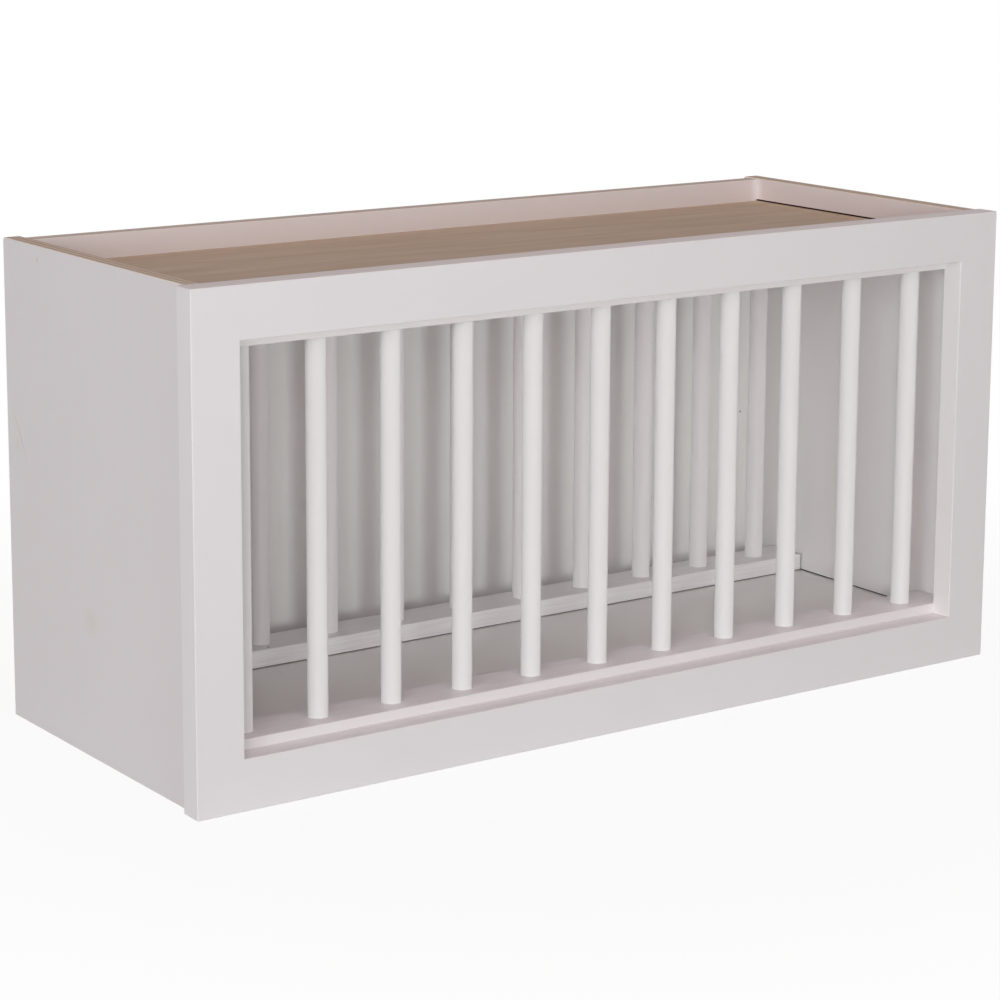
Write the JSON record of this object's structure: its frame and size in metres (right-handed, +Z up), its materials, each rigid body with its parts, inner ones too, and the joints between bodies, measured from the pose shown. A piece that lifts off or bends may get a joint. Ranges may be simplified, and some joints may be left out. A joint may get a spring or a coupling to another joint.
{
  "type": "plate rack",
  "caption": "Wall cabinet plate rack: open-fronted plywood case behind a face frame, with front and rear rows of upright dowels that hold plates on edge.",
  "frame": {"origin": "middle of the bounding box's underside, on the surface that the rack stands on", "axes": "+X to the right as seen from the front, +Y from the front to the wall, +Z up"},
  "size_m": [0.762, 0.3048, 0.381],
  "materials": {
    "white_paint": "satin white lacquer over hardwood and plywood, raw ply edges",
    "dowel_paint": "satin white lacquer over a turned birch dowel",
    "prefinished_ply": "white-painted plywood, raw edges",
    "bare_ply": "unfinished plywood veneer, faint straight grain",
    "zinc_steel": "zinc plated, dull"
  },
  "bodies": {
    "root": {"left_stile": "white_paint", "right_stile": "white_paint", "top_rail": "white_paint", "bottom_rail": "white_paint", "left_side_panel": "white_paint", "right_side_panel": "white_paint", "front_lower_dowel_rail": "white_paint", "front_upper_dowel_rail": "white_paint", "rear_lower_dowel_rail": "white_paint", "rear_upper_dowel_rail": "white_paint", "bottom_panel": "prefinished_ply", "back_panel": "prefinished_ply", "top_panel": "bare_ply", "front_dowel_01": "dowel_paint", "front_dowel_02": "dowel_paint", "front_dowel_03": "dowel_paint", "front_dowel_04": "dowel_paint", "front_dowel_05": "dowel_paint", "front_dowel_06": "dowel_paint", "front_dowel_07": "dowel_paint", "front_dowel_08": "dowel_paint", "front_dowel_09": "dowel_paint", "front_dowel_10": "dowel_paint", "front_dowel_11": "dowel_paint", "rear_dowel_01": "dowel_paint", "rear_dowel_02": "dowel_paint", "rear_dowel_03": "dowel_paint", "rear_dowel_04": "dowel_paint", "rear_dowel_05": "dowel_paint", "rear_dowel_06": "dowel_paint", "rear_dowel_07": "dowel_paint", "rear_dowel_08": "dowel_paint", "rear_dowel_09": "dowel_paint", "rear_dowel_10": "dowel_paint", "rear_dowel_11": "dowel_paint", "pocket_screw_top_left_1": "zinc_steel", "pocket_screw_top_left_2": "zinc_steel", "pocket_screw_top_right_1": "zinc_steel", "pocket_screw_top_right_2": "zinc_steel", "pocket_screw_bottom_left_1": "zinc_steel", "pocket_screw_bottom_left_2": "zinc_steel", "pocket_screw_bottom_right_1": "zinc_steel", "pocket_screw_bottom_right_2": "zinc_steel", "brad_left_top_1": "zinc_steel", "brad_left_top_2": "zinc_steel", "brad_left_top_3": "zinc_steel", "brad_left_bottom_1": "zinc_steel", "brad_left_bottom_2": "zinc_steel", "brad_left_bottom_3": "zinc_steel", "brad_right_top_1": "zinc_steel", "brad_right_top_2": "zinc_steel", "brad_right_top_3": "zinc_steel", "brad_right_bottom_1": "zinc_steel", "brad_right_bottom_2": "zinc_steel", "brad_right_bottom_3": "zinc_steel"}
  },
  "joints": []
}
